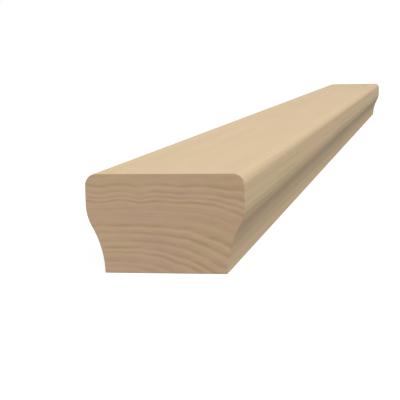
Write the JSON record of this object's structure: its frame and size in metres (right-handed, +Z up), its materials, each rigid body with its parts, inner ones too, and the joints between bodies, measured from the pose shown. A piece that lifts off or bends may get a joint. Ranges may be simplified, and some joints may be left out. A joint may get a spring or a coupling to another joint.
{
  "type": "stair handrail",
  "caption": "Straight wooden stair handrail: flat top with rounded corners, upright upper sides, ogee lower sides and a narrower flat base.",
  "frame": {"origin": "on the flat base, under the middle of the rail", "axes": "+Y along the rail, away from the end that the picture shows in front; +Z up from the flat base to the flat top; +X across the rail"},
  "size_m": [0.0666, 1.2192, 0.0413],
  "materials": {
    "wood": "planed and sanded pale hardwood, unfinished"
  },
  "bodies": {
    "root": {"handrail": "wood"}
  },
  "joints": []
}
